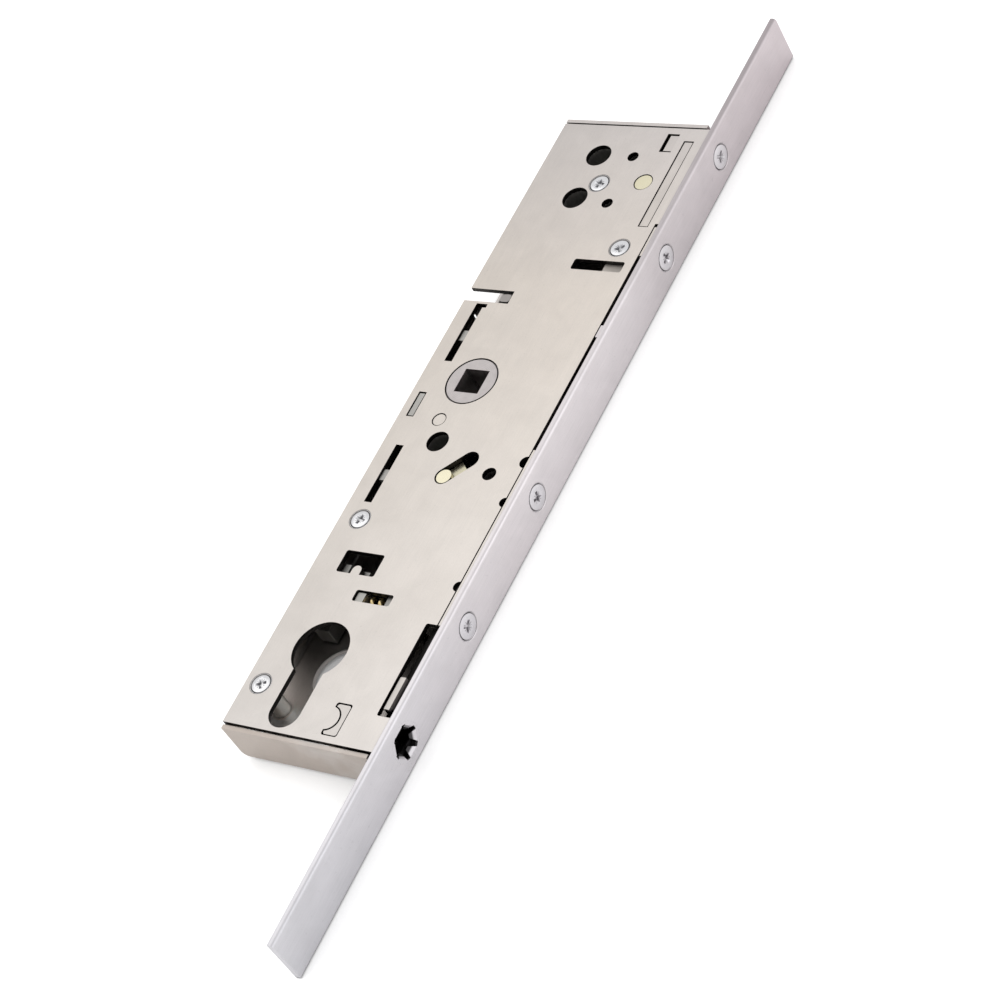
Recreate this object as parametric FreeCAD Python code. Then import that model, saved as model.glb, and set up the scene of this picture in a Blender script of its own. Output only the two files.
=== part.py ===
"""Passive door lock: the gearbox of a two-way espagnolette lock on a section of its faceplate strip.

The lock lies on its back plate. X runs up the door, -Y points out of the door edge through the
faceplate, and Z points out of the cover plate. The origin is on the spindle axis, in the middle
plane of the faceplate. A place is written as x, up the door, and depth, from the spindle axis towards
the faceplate, so y = -depth. Lengths are in millimetres.
"""
import FreeCAD, Part
import math
import os

# Case
case_thickness = 13.9
cover_level = 7.25
cover_thickness = 1.5
tray_sheet = 1.25
bend_radius = 2.1
case_back = 17.85
case_top = 98.9
case_bottom = -120.2
cover_top_gap = 0.5
cover_bottom_gap = 0.45
bottom_flap_drop = 0.8
flange_front_gap = 1.7

# Faceplate strip
backset = 35.0
strip_thickness = 2.0
strip_width = 16.0
strip_top = 141.0
strip_bottom = -176.0
strip_front_round = 1.0
strip_back_round = 0.35

# Front edge of the cover: its gap to the strip, and the thin line that sets a lip apart
gap_close = 0.1
gap_wide = 1.55
wide_gap_top = 49.0
wide_gap_bottom = -20.5
line_set_back = 1.5
line_width = 0.4
line_depth = 0.6
line_top = 60.9
lip_end_gap = 1.2
tray_front_gap = 0.85

# Spindle, handle and cylinder holes
square_side = 8.1
hub_radius = 8.15
hub_step = 0.35
hub_step_depth = 0.6
running_gap = 0.1
cylinder_distance = 92.0
cylinder_radius = 8.75
cylinder_leg_width = 10.0
cylinder_leg_reach = 25.1
cylinder_screw_drop = 18.2
handle_bolt_x = -21.6
handle_bolt_radius = 3.45
handle_bush_wall = 1.15
upper_bolt_x = (68.7, 85.3)
upper_bolt_radius = 4.0
upper_bush_wall = 1.2
upper_pin_depth = 11.9
upper_pin_x = (67.4, 85.5)
upper_pin_radius = 1.76
pin_bush_wall = 0.9
locating_x = -30.0
locating_set_back = 12.85
locating_radius = 2.12

# Screws
post_screw_spots = ((74.75, 5.5), (-50.1, -10.9), (-105.4, -12.6))
bracket_screw_x = 51.4
bracket_screw_behind = 2.45
case_screw_head_radius = 3.35
case_screw_shank_radius = 1.45
case_screw_length = 9.0
case_post_radius = 2.6
strip_screw_x = (93.5, 54.9, -30.6, -73.5)
strip_screw_head_radius = 4.1
strip_screw_head_height = 1.8
strip_screw_shank_radius = 1.95
strip_screw_length = 8.5
boss_radius = 2.9
thread_gap = 0.05
thread_floor = 1.0
cross_width = 0.9
cross_depth = 1.0
cross_share = 0.56
cross_turn = 25.0

# Pinion and racks: module, teeth and layer
tooth_module = 1.25
pinion_teeth = 16
pressure_angle = 20.0
addendum = 1.0
root_gap = 0.3
backlash = 0.16
turn_limit = 45.0
rack_floor_gap = 0.35
rack_body = 4.2
rack_teeth_each_side = 4
front_rack_x = (-16.0, 30.0)
front_arm_x = (20.0, 30.0)
back_rack_x = (-39.2, 19.0)
back_foot_height = 4.2
step_arm_depths = (-7.9, -3.0)
cross_arm_x = (-48.5, -44.2)
guide_rib_x = (-24.0, 10.0)
guide_rib_width = 1.8
collar_radius = 10.2
layer_gap = 0.3

# Drive rails behind the strip
rail_width = 9.6
rail_thickness = 2.3
rail_play = 0.1
rail_slot_play = 0.2
rail_end_margin = 1.0
upper_rail_bottom = 16.5
lower_rail_top = -2.0
rail_guide_x = (118.5, -150.0)
rail_guide_head_radius = 3.8
rail_guide_head = 0.8
tenon_size = 4.0
lower_tenon_length = 3.4
tenon_play = 0.05
rail_window_gap = 0.3
lug_x = 21.5
lug_length = 4.2
lug_thickness = 1.2

# Back slide tabs that show in the cover's two guide slots
tab_depth = -11.6
tab_width = 2.2
tab_length = 3.7
tab_x = (16.0, -34.3)
tab_top_drop = 0.7
tab_side_gap = 0.2
tab_end_gap = 0.3
tab_pad_margin = 0.1
slot_head_height = 1.3
slot_head_width = 3.8

# Slanted slot with its brass link
link_x = -32.6
link_set_back = 26.9
link_angle = 49.5
link_travel = 8.5
link_slot_radius = 2.72
link_pin_radius = 2.3
link_bar_reach = 6.3
link_bar_half_width = 2.85
link_layer = 2.0

# Key slide
fork_top = -63.5
fork_bottom = -82.8
fork_half_width = 12.0
fork_gap_half_width = 6.5
fork_gap_top = -77.0
slide_bar_back = 2.6
slide_bar_front = 1.9
slide_head_wall = 1.3
slide_layer = 2.0
slide_pin_play = 0.1
fork_floor_gap = 0.6
bar_root_length = 5.4
ear_depths = (-8.8, -6.8)
ear_x = (-70.0, -63.7)
rib_depths = (-1.6, 0.5)
rib_x = (-76.5, -65.2)
raised_top_drop = 0.45
guide_stud_radius = 1.5
guide_stud_depths = (-4.5, 3.3)
guide_stud_x = -68.0

# Drag spring that holds the key slide where it is put
spring_x = -73.4
spring_start = 4.0
spring_end = 10.8
spring_diameter = 4.0
spring_wire = 1.3
spring_turns = 2
pad_width = 4.2
pad_play = 0.1
pad_window_gap = 0.35
cheek = 0.6
seat_depths = (12.6, 17.0)

# Back notch, and the wider gap that it has in the back wall
notch_x = (28.1, 32.7)
notch_end = -2.5
notch_post_x = (28.8, 31.5)
notch_post_depths = (-6.0, -2.75)
notch_post_corner = 0.8
notch_guard = 0.7
notch_guard_back = -16.4
wall_notch_x = (27.0, 42.5)

# Front recess beside the cylinder screw
recess_x = (-108.0, -78.8)
recess_reach = 4.9
recess_corner = 0.6

# Rivets between the plates
brass_rivet_x = 76.1
brass_rivet_set_back = 15.0
brass_rivet_head = 2.7
ring_rivet_spot = (-14.2, -3.55)
ring_rivet_head = 1.95
rivet_shoulder = 0.6
rivet_ring_gap = 0.3

# Brackets of the strip screws
bracket_set_back = 3.8
bracket_plate = 2.7
bracket_foot_x = (42.0, 58.5)
bracket_foot_depth = 5.3
bracket_top_gap = 1.3
long_bar_x = (59.9, 92.0)
long_bar_gap = 0.35
centre_bracket_half = 4.9
centre_bracket_depth = 3.7
lower_bracket_x = (-108.0, -60.0)
lower_bracket_plate = 2.2
lower_bracket_gap = 0.2
lower_tab_x = (-105.5, -95.3)
lower_tab_drop = 0.6
lower_tab_thickness = 1.8
lower_bracket_step = 3.9

# Flush tabs of the spacers and the rack keeper
hook_x = (88.4, 94.3)
hook_set_back = 2.9
hook_width = 2.9
hook_gap = 1.1
hook_block_margin = 1.5
keeper_x = (-13.9, -5.9)
keeper_depths = (-14.85, -13.05)
keeper_gap = 0.4
keeper_margin = 0.6
crescent_x = (-116.1, -106.8)
crescent_depths = (14.8, 19.2)
crescent_hollow = (-111.4, 13.9, 3.9)
crescent_corner = 0.7
crescent_gap = 0.4
crescent_block_margin = 0.7
flush_drop = 0.15

# Windows of the cover, each from one height to another and from one depth to another
top_window_x = (42.5, 46.3)
top_window_start = 11.6
top_window_set_back = 4.4
fork_window = (-67.6, -60.4, -9.2, 3.8)
spring_window = (-75.8, -72.2, 1.0, 13.6)
window_corner = 0.7
bump_depth = -2.7
bump_radius = 1.5
bump_height = 2.8
edge_notches = ((-24.75, 1.95), (-38.35, 1.55), (-66.3, 1.6))
edge_notch_set_back = 1.4

# Spring washer of the cylinder screw, let into the strip's front
star_radius = 5.6
star_ring = 0.65
star_thickness = 0.4
star_prongs = 6
star_bend_radius = 4.4
star_tip_radius = 3.1
star_tip_depth = 1.45
star_prong_base = 2.15
star_prong_tip = 0.55
star_turn = 30.0
star_seat = 0.55
star_gap = 0.02

# Levels through the case
z_front = cover_level
z_back = z_front - case_thickness
z_ceiling = z_front - cover_thickness
z_floor = z_back + tray_sheet
strip_back = backset - strip_thickness
rail_front = strip_back - rail_play
rail_back = rail_front - rail_thickness
link_top = z_ceiling - layer_gap
link_bottom = link_top - link_layer
slide_top = link_bottom - layer_gap
slide_bottom = slide_top - slide_layer
rack_top = slide_bottom - layer_gap
rack_bottom = z_floor + rack_floor_gap
rack_height = rack_top - rack_bottom
raised_top = z_ceiling - raised_top_drop
tenon_z = (rack_bottom + rack_top) / 2
pitch_radius = tooth_module * pinion_teeth / 2
tooth_pitch = math.pi * tooth_module
rail_travel = pitch_radius * math.radians(turn_limit)
cylinder_x = -cylinder_distance
cylinder_screw_x = cylinder_x - cylinder_screw_drop
slide_travel = link_travel * math.sin(math.radians(link_angle))
bracket_front = strip_back - bracket_set_back
bracket_back = bracket_front - bracket_plate
lower_bracket_front = rail_back - lower_bracket_gap
bracket_screw_spot = (bracket_screw_x, bracket_back - bracket_screw_behind)
locating_depth = backset - locating_set_back
link_depth = backset - link_set_back
slide_bar = (link_depth - slide_bar_back, link_depth + slide_bar_front)
hook_depths = (bracket_back - hook_set_back - hook_width, bracket_back - hook_set_back)
brass_rivet_spot = (brass_rivet_x, backset - brass_rivet_set_back)
top_window = (*top_window_x, top_window_start, strip_back - top_window_set_back)
case_screw_spots = post_screw_spots + (bracket_screw_spot,)
upper_bracket_screws = strip_screw_x[:2]
rivet_holes = (brass_rivet_spot + (brass_rivet_head + rivet_ring_gap,),
               ring_rivet_spot + (ring_rivet_head + rivet_ring_gap,))
far_out = 50.0


def at(x, depth, z):
    """A point from its height up the door, its depth towards the faceplate and its level."""
    return FreeCAD.Vector(x, -depth, z)


def block(x0, x1, depth0, depth1, z0, z1):
    """A box between two heights, two depths and two levels."""
    return Part.makeBox(x1 - x0, depth1 - depth0, z1 - z0, at(x0, depth1, z0))


def post(x, depth, radius, z0, z1):
    """A round post along Z."""
    return Part.makeCylinder(radius, z1 - z0, at(x, depth, z0))


def prism(corners, z0, z1):
    """A plate with straight sides from its corners, each an x and a depth."""
    points = [at(x, depth, z0) for x, depth in corners]
    outline = Part.makePolygon(points + points[:1])
    return Part.Face(outline).extrude(FreeCAD.Vector(0, 0, z1 - z0))


def along_depth(x, z, radius, depth0, depth1):
    """A round bar that runs towards the faceplate."""
    return Part.makeCylinder(radius, depth1 - depth0, at(x, depth0, z), FreeCAD.Vector(0, -1, 0))


def fused(shapes):
    """One solid from shapes that meet."""
    joined = shapes[0].multiFuse(shapes[1:])
    return joined.removeSplitter()


def upright_edges(shape):
    """The edges of a shape that run along Z."""
    found = []
    for edge in shape.Edges:
        first = edge.Vertexes[0].Point
        last = edge.Vertexes[-1].Point
        straight_up = math.hypot(first.x - last.x, first.y - last.y) < 1e-6
        if straight_up and abs(first.z - last.z) > 1e-6:
            found.append(edge)
    return found


def rounded(shape, radius):
    """The shape with its upright edges rounded."""
    return shape.makeFillet(radius, upright_edges(shape))


def slot(x0, depth0, x1, depth1, radius, z0, z1):
    """A plate with round ends between two centres."""
    run_x = x1 - x0
    run_depth = depth1 - depth0
    length = math.hypot(run_x, run_depth)
    side_x = -run_depth / length * radius
    side_depth = run_x / length * radius
    middle = prism([(x0 + side_x, depth0 + side_depth), (x1 + side_x, depth1 + side_depth),
                    (x1 - side_x, depth1 - side_depth), (x0 - side_x, depth0 - side_depth)], z0, z1)
    return fused([middle, post(x0, depth0, radius, z0, z1), post(x1, depth1, radius, z0, z1)])


def strip_slot(x, half_length, radius, depth0, depth1):
    """A slot along X that is cut towards the faceplate."""
    reach = half_length - radius
    middle = block(x - reach, x + reach, depth0, depth1, -radius, radius)
    ends = [along_depth(x + side * reach, 0, radius, depth0, depth1) for side in (-1, 1)]
    return fused([middle] + ends)


def link_point(distance):
    """The x and depth of a point along the slanted slot, from the pin's place at rest."""
    angle = math.radians(link_angle)
    return link_x + distance * math.sin(angle), link_depth + distance * math.cos(angle)


def countersunk_screw(head_radius, head_height, shank_radius, length):
    """A cross-recessed screw that hangs down from the level z = 0."""
    head = Part.makeCone(shank_radius, head_radius, head_height, FreeCAD.Vector(0, 0, -head_height))
    shank = Part.makeCylinder(shank_radius, length, FreeCAD.Vector(0, 0, -length))
    body = fused([head, shank])
    arm = head_radius * cross_share
    for turn in (0, 90):
        bar = Part.makeBox(2 * arm, cross_width, 2 * cross_depth,
                           FreeCAD.Vector(-arm, -cross_width / 2, -cross_depth))
        bar.rotate(FreeCAD.Vector(), FreeCAD.Vector(0, 0, 1), turn + cross_turn)
        body = body.cut(bar)
    return body


def rivet(x, depth, head_radius):
    """A shouldered rivet from the tray to the cover, with a flush head in each sheet."""
    shank = post(x, depth, head_radius + rivet_shoulder, z_floor, z_ceiling)
    head = post(x, depth, head_radius, z_ceiling, z_front - flush_drop)
    foot = post(x, depth, head_radius, z_back + flush_drop, z_floor)
    return fused([shank, head, foot])


def bush(x, depth, bore, wall):
    """A tube that joins a hole in the cover to the same hole in the tray."""
    return post(x, depth, bore + wall, z_floor, z_ceiling).cut(post(x, depth, bore, z_back, z_front))


def arc_between(start, corner, end):
    """The arc that leaves start towards corner and arrives at end, both the same distance off."""
    chord_middle = (start + end) * 0.5
    half_turn = (corner - start).getAngle(end - corner) / 2
    share = math.cos(half_turn) / (1 + math.cos(half_turn))
    return Part.Arc(start, chord_middle + (corner - chord_middle) * share, end).toShape()


def coil_spring(wire, diameter, length, turns):
    """A spring along +X from the origin: one round tube on two arcs for each quarter turn."""
    mean_radius = (diameter - wire) / 2
    rise = length - wire
    steps = 4 * turns

    def point(step):
        angle = math.pi / 2 * step
        return FreeCAD.Vector(wire / 2 + rise * step / steps,
                              mean_radius * math.cos(angle), mean_radius * math.sin(angle))

    def heading(step):
        angle = math.pi / 2 * step
        return FreeCAD.Vector(rise / steps / (math.pi / 2), -mean_radius * math.sin(angle),
                              mean_radius * math.cos(angle)).normalize()

    arcs = []
    for step in range(steps):
        start, end = point(step), point(step + 1)
        leave, arrive = heading(step), heading(step + 1)
        span = end - start
        both = leave + arrive
        square = 2 * leave.dot(arrive) - 2
        middle = -2 * span.dot(both)
        reach = (-middle - math.sqrt(middle ** 2 - 4 * square * span.dot(span))) / (2 * square)
        first_corner = start + leave * reach
        second_corner = end - arrive * reach
        joint = (first_corner + second_corner) * 0.5
        arcs.append(arc_between(start, first_corner, joint))
        arcs.append(arc_between(joint, second_corner, end))
    path = Part.Wire(arcs)
    section = Part.Wire([Part.Circle(point(0), heading(0), wire / 2).toShape()])
    sweep = Part.BRepOffsetAPI.MakePipeShell(path)
    sweep.add(section)
    sweep.build()
    sweep.makeSolid()

    samples = 24
    line = [point(step / samples) for step in range(steps * samples + 1)]
    least = min(line[i].distanceToPoint(line[j])
                for i in range(len(line)) for j in range(i + 3 * samples, len(line)))
    print("least gap between the spring's turns: %.2f mm" % (least - wire))
    return Part.Solid(sweep.shape())


def rack_teeth(side, rack_x0, rack_x1):
    """A toothed bar beside the pinion. The side is 1 towards the faceplate and -1 to the back."""
    slope = math.tan(math.radians(pressure_angle))
    half = (tooth_pitch / 2 - backlash / 2) / 2
    tip_depth = pitch_radius - addendum
    root_depth = pitch_radius + addendum + root_gap
    bar = [block(rack_x0, rack_x1, min(side * root_depth, side * (root_depth + rack_body)),
                 max(side * root_depth, side * (root_depth + rack_body)), rack_bottom, rack_top)]
    for count in range(-rack_teeth_each_side, rack_teeth_each_side):
        middle = (count + 0.5) * tooth_pitch
        root_half = half + (addendum + root_gap) * slope
        tip_half = half - addendum * slope
        overlap_depth = root_depth + rack_body / 2
        bar.append(prism([(middle - root_half, side * overlap_depth),
                          (middle - root_half, side * root_depth),
                          (middle - tip_half, side * tip_depth),
                          (middle + tip_half, side * tip_depth),
                          (middle + root_half, side * root_depth),
                          (middle + root_half, side * overlap_depth)], rack_bottom, rack_top))
    return bar


def pinion_tooth(angle):
    """One involute tooth that points along +X before it is turned by the angle."""
    base_radius = pitch_radius * math.cos(math.radians(pressure_angle))
    tip_radius = pitch_radius + addendum
    root_radius = pitch_radius - addendum - root_gap
    half_thickness = (tooth_pitch / 2 - backlash / 2) / 2 / pitch_radius
    pressure = math.radians(pressure_angle)
    half_at_base = half_thickness + math.tan(pressure) - pressure

    def flank(radius):
        local = math.acos(base_radius / radius)
        spread = half_at_base - (math.tan(local) - local)
        return FreeCAD.Vector(radius * math.cos(spread), radius * math.sin(spread), rack_bottom)

    def mirrored(point):
        return FreeCAD.Vector(point.x, -point.y, point.z)

    radii = [base_radius + (tip_radius - base_radius) * share for share in (0, 0.15, 0.4, 0.7, 1)]
    upper = [flank(radius) for radius in radii]
    lower = [mirrored(point) for point in upper]
    inner = FreeCAD.Vector(root_radius - root_gap, upper[0].y, rack_bottom)
    curve_up = Part.BSplineCurve()
    curve_up.interpolate(upper)
    curve_down = Part.BSplineCurve()
    curve_down.interpolate(lower[::-1])
    tip = Part.Arc(upper[-1], FreeCAD.Vector(tip_radius, 0, rack_bottom), lower[-1])
    outline = Part.Wire([Part.LineSegment(inner, upper[0]).toShape(), curve_up.toShape(),
                         tip.toShape(), curve_down.toShape(),
                         Part.LineSegment(lower[0], mirrored(inner)).toShape(),
                         Part.LineSegment(mirrored(inner), inner).toShape()])
    tooth = Part.Face(outline).extrude(FreeCAD.Vector(0, 0, rack_height))
    tooth.rotate(FreeCAD.Vector(), FreeCAD.Vector(0, 0, 1), angle)
    return tooth


# Shell of the case

def spindle_notch(z0, z1):
    """The cut that lets a bar pass in from the back edge."""
    return block(notch_x[0], notch_x[1], -case_back - 1, notch_end, z0, z1)


def front_recess(z0, z1):
    """The long cut in the front edge beside the cylinder screw."""
    cut = block(recess_x[0], recess_x[1], strip_back - recess_reach, strip_back + recess_reach,
                z0, z1)
    return rounded(cut, recess_corner)


def cylinder_cut(z0, z1):
    """The round and the leg of the profile cylinder's hole."""
    leg_radius = cylinder_leg_width / 2
    leg_end = cylinder_x - cylinder_leg_reach + leg_radius
    leg = slot(cylinder_x, 0, leg_end, 0, leg_radius, z0, z1)
    return fused([post(cylinder_x, 0, cylinder_radius, z0, z1), leg])


def through_holes(z0, z1):
    """Every hole that passes the whole case."""
    holes = [post(0, 0, hub_radius + running_gap, z0, z1),
             post(handle_bolt_x, 0, handle_bolt_radius, z0, z1),
             post(locating_x, locating_depth, locating_radius, z0, z1),
             cylinder_cut(z0, z1)]
    holes += [post(x, 0, upper_bolt_radius, z0, z1) for x in upper_bolt_x]
    holes += [post(x, upper_pin_depth, upper_pin_radius, z0, z1) for x in upper_pin_x]
    return holes


def case_tray():
    """The bent back plate with its back wall, top flange and bottom flap."""
    front = strip_back - tray_front_gap
    outer = block(case_bottom, case_top, -case_back, front, z_back, z_front)
    inner_x = (case_bottom + tray_sheet, case_top - tray_sheet)
    inner_back = -case_back + tray_sheet
    inner = block(inner_x[0], inner_x[1], inner_back, front + 5, z_floor, z_front + 5)

    def bend_edges(shape, level):
        chosen = []
        for edge in shape.Edges:
            box = edge.BoundBox
            flat = abs(box.ZMin - level) < 1e-6 and abs(box.ZMax - level) < 1e-6
            if flat and abs(box.YMin - shape.BoundBox.YMin) > 1e-6:
                chosen.append(edge)
        return chosen

    outer = outer.makeFillet(bend_radius, bend_edges(outer, z_back))
    inner = inner.makeFillet(bend_radius - tray_sheet, bend_edges(inner, z_floor))
    tray = outer.cut(inner)
    flange_end = strip_back - flange_front_gap
    window_start = rail_back - rail_window_gap
    window_half = rail_width / 2 + rail_window_gap
    cuts = [block(case_bottom - 1, case_top + 1, window_start, front + 1, -window_half, window_half),
            block(inner_x[0], inner_x[1], -case_back - 1, inner_back + 1, z_ceiling, z_front),
            block(case_bottom - 1, inner_x[0], -case_back - 1, front + 1,
                  z_front - bottom_flap_drop, z_front),
            block(case_bottom - 1, inner_x[0] + 1, flange_end, front + 1, z_floor, z_front),
            block(inner_x[1] - 1, case_top + 1, flange_end, front + 1, z_floor, z_front),
            block(wall_notch_x[0], wall_notch_x[1], -case_back - 1, inner_back,
                  z_back + bend_radius, z_front),
            spindle_notch(z_back - 1, z_front + 1),
            front_recess(z_back - 1, z_floor + 1)]
    cuts += [post(x, depth, hole, z_back - 1, z_floor + 1) for x, depth, hole in rivet_holes]
    return tray.cut(cuts + through_holes(z_back - 1, z_floor + 1))


def crescent(grow, z0, z1):
    """The outline of the tab beside the cylinder hole, a round-cornered plate with a round bite."""
    outline = block(crescent_x[0] - grow, crescent_x[1] + grow, crescent_depths[0] - grow,
                    crescent_depths[1] + grow, z0, z1)
    outline = rounded(outline, crescent_corner)
    bite_x, bite_depth, bite_radius = crescent_hollow
    return outline.cut(post(bite_x, bite_depth, bite_radius - grow, z0 - 1, z1 + 1))


def back_slots(z0, z1):
    """The two guide slots of the back slide. The upper one has a hooked end."""
    half_width = tab_width / 2 + tab_side_gap
    half_length = tab_length / 2 + rail_travel + tab_end_gap
    cuts = [block(x - half_length, x + half_length, tab_depth - half_width, tab_depth + half_width,
                  z0, z1) for x in tab_x]
    top = tab_x[0] + half_length
    cuts.append(block(top, top + slot_head_height, tab_depth - half_width,
                      tab_depth - half_width + slot_head_width, z0, z1))
    return cuts


def front_edge_cuts(z0, z1):
    """The thin line that sets the lip apart, the gap at its end and the round bites behind it."""
    line_near = strip_back - line_set_back
    line_far = line_near + line_width
    cuts = [block(recess_x[1] - 1, line_top, line_near, line_far, z_front - line_depth, z1),
            block(line_top - lip_end_gap, line_top, line_near, strip_back, z0, z1)]
    for x, radius in edge_notches:
        bite = post(x, strip_back - edge_notch_set_back, radius, z0, z1)
        cuts.append(bite.common(block(x - radius, x + radius, 0, line_far, z0, z1)))
    return cuts


def case_cover():
    """The flat front plate with its windows, slots, holes and stepped front edge."""
    x0 = case_bottom + tray_sheet + cover_bottom_gap
    x1 = case_top - tray_sheet - cover_top_gap
    close, wide = strip_back - gap_close, strip_back - gap_wide
    plate = prism([(x0, -case_back), (x1, -case_back), (x1, close), (wide_gap_top, close),
                   (wide_gap_top, wide), (wide_gap_bottom, wide), (wide_gap_bottom, close),
                   (x0, close)], z_ceiling, z_front)
    z0, z1 = z_ceiling - 1, z_front + 1
    cuts = through_holes(z0, z1) + back_slots(z0, z1) + front_edge_cuts(z0, z1)
    cuts += [spindle_notch(z0, z1), front_recess(z0, z1)]
    for x_low, x_high, depth_low, depth_high in (top_window, fork_window, spring_window):
        cuts.append(rounded(block(x_low, x_high, depth_low, depth_high, z0, z1), window_corner))
    cuts.append(slot(*link_point(0), *link_point(link_travel), link_slot_radius, z0, z1))
    cuts.append(block(long_bar_x[0] - long_bar_gap, long_bar_x[1] + long_bar_gap,
                      bracket_back - long_bar_gap, bracket_front + long_bar_gap, z0, z1))
    near, far = hook_depths
    cuts.append(block(hook_x[0] - hook_gap / 2, hook_x[1] + hook_gap / 2,
                      near - hook_gap, far, z0, z1))
    cuts.append(block(keeper_x[0] - keeper_gap, keeper_x[1] + keeper_gap,
                      keeper_depths[0] - keeper_gap, keeper_depths[1] + keeper_gap, z0, z1))
    cuts.append(crescent(crescent_gap, z0, z1))
    cuts += [post(x, depth, hole, z0, z1) for x, depth, hole in rivet_holes]
    for x, depth in case_screw_spots:
        sink = Part.makeCone(case_screw_shank_radius + thread_gap,
                             case_screw_head_radius + thread_gap, cover_thickness,
                             at(x, depth, z_ceiling))
        cuts.append(sink)
    cover = plate.cut(cuts)
    sill = fork_window[0]
    bump = slot(sill - bump_radius, bump_depth, sill + bump_height - bump_radius, bump_depth, bump_radius,
                z_ceiling, z_front)
    return fused([cover, bump])


# Faceplate and what is screwed to it

def faceplate():
    """The strip with rounded edges, countersunk screw holes and the cylinder screw's hole."""
    half = strip_width / 2
    strip = block(strip_bottom, strip_top, strip_back, backset, -half, half)

    def long_edges(depth):
        return [edge for edge in strip.Edges
                if edge.Length > strip_width and abs(edge.Vertexes[0].Y + depth) < 1e-6]

    front_edges = long_edges(backset)
    strip = strip.makeFillet(strip_front_round, front_edges)
    strip = strip.makeFillet(strip_back_round, long_edges(strip_back))
    cuts = []
    for x in strip_screw_x:
        cuts.append(Part.makeCone(strip_screw_head_radius + thread_gap,
                                  strip_screw_shank_radius + thread_gap, strip_screw_head_height,
                                  at(x, backset, 0), FreeCAD.Vector(0, 1, 0)))
        cuts.append(along_depth(x, 0, strip_screw_shank_radius + thread_gap,
                                strip_back - 1, backset))
    cuts.append(along_depth(cylinder_screw_x, 0, star_radius - star_seat,
                            strip_back - 1, backset + 1))
    cuts.append(along_depth(cylinder_screw_x, 0, star_radius + star_gap,
                            backset - star_thickness - star_gap, backset + 1))
    return strip.cut(cuts)


def star_prong(angle):
    """One prong along +X that bends down from the ring, turned by the angle."""
    ring_inner = star_radius - star_ring
    root = ring_inner + star_ring / 6
    fall = math.atan2(star_tip_depth, star_bend_radius - star_tip_radius)
    side_x = star_thickness * math.sin(fall)
    side_z = star_thickness * math.cos(fall)
    inner_bend_x = star_bend_radius + star_thickness * math.tan(fall / 2)
    profile = [(root, 0), (star_bend_radius, 0), (star_tip_radius, -star_tip_depth),
               (star_tip_radius + side_x, -star_tip_depth - side_z),
               (inner_bend_x, -star_thickness), (root, -star_thickness)]
    points = [FreeCAD.Vector(x, -star_prong_base, z) for x, z in profile]
    bent = Part.Face(Part.makePolygon(points + points[:1]))
    bent = bent.extrude(FreeCAD.Vector(0, 2 * star_prong_base, 0))
    plan = [(root, -star_prong_base), (root, star_prong_base), (ring_inner, star_prong_base),
            (star_tip_radius, star_prong_tip), (star_tip_radius, -star_prong_tip),
            (ring_inner, -star_prong_base)]
    points = [FreeCAD.Vector(x, y, -strip_thickness) for x, y in plan]
    wedge = Part.Face(Part.makePolygon(points + points[:1]))
    prong = bent.common(wedge.extrude(FreeCAD.Vector(0, 0, 2 * strip_thickness)))
    prong.rotate(FreeCAD.Vector(), FreeCAD.Vector(0, 0, 1), angle)
    return prong


def star_retainer():
    """The spring washer of the cylinder screw. Its prongs bend back into the hole."""
    ring = Part.makeCylinder(star_radius, star_thickness, FreeCAD.Vector(0, 0, -star_thickness))
    ring = ring.cut(Part.makeCylinder(star_radius - star_ring, 2 * star_thickness,
                                      FreeCAD.Vector(0, 0, -1.5 * star_thickness)))
    prongs = [star_prong(360 * count / star_prongs + star_turn) for count in range(star_prongs)]
    star = fused([ring] + prongs)
    star.rotate(FreeCAD.Vector(), FreeCAD.Vector(1, 0, 0), 90)
    star.translate(at(cylinder_screw_x, backset, 0))
    return star


def screw_boss(x, depth0):
    """The threaded boss that passes the rail's slot and meets the strip's back."""
    return along_depth(x, 0, boss_radius, depth0, strip_back)


def threaded(shape, x, depth0):
    """The shape with a hole for the strip screw at x."""
    return shape.cut(along_depth(x, 0, strip_screw_shank_radius + thread_gap,
                                 depth0, strip_back + 1))


def front_bracket_upper():
    """The plate that carries the two upper strip screws, with its long flush bar."""
    foot_start = bracket_back - bracket_foot_depth
    top = case_top - tray_sheet - bracket_top_gap
    plate = block(bracket_foot_x[0], top, bracket_back, bracket_front, z_floor, z_ceiling)
    foot = block(bracket_foot_x[0], bracket_foot_x[1], foot_start, bracket_back, z_floor, z_ceiling)
    bar = block(long_bar_x[0], long_bar_x[1], bracket_back, bracket_front,
                z_ceiling, z_front - flush_drop)
    bosses = [screw_boss(x, bracket_front) for x in upper_bracket_screws]
    bracket = fused([plate, foot, bar] + bosses)
    for x in upper_bracket_screws:
        bracket = threaded(bracket, x, foot_start - 1)
    x, depth = bracket_screw_spot
    return bracket.cut(post(x, depth, case_screw_shank_radius + thread_gap,
                            z_floor + thread_floor, z_front))


def front_bracket_centre():
    """The threaded block of the third strip screw."""
    x = strip_screw_x[2]
    start = bracket_front - centre_bracket_depth
    body = block(x - centre_bracket_half, x + centre_bracket_half, start, bracket_front,
                 z_floor, z_ceiling)
    return threaded(fused([body, screw_boss(x, bracket_front)]), x, start - 1)


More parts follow.
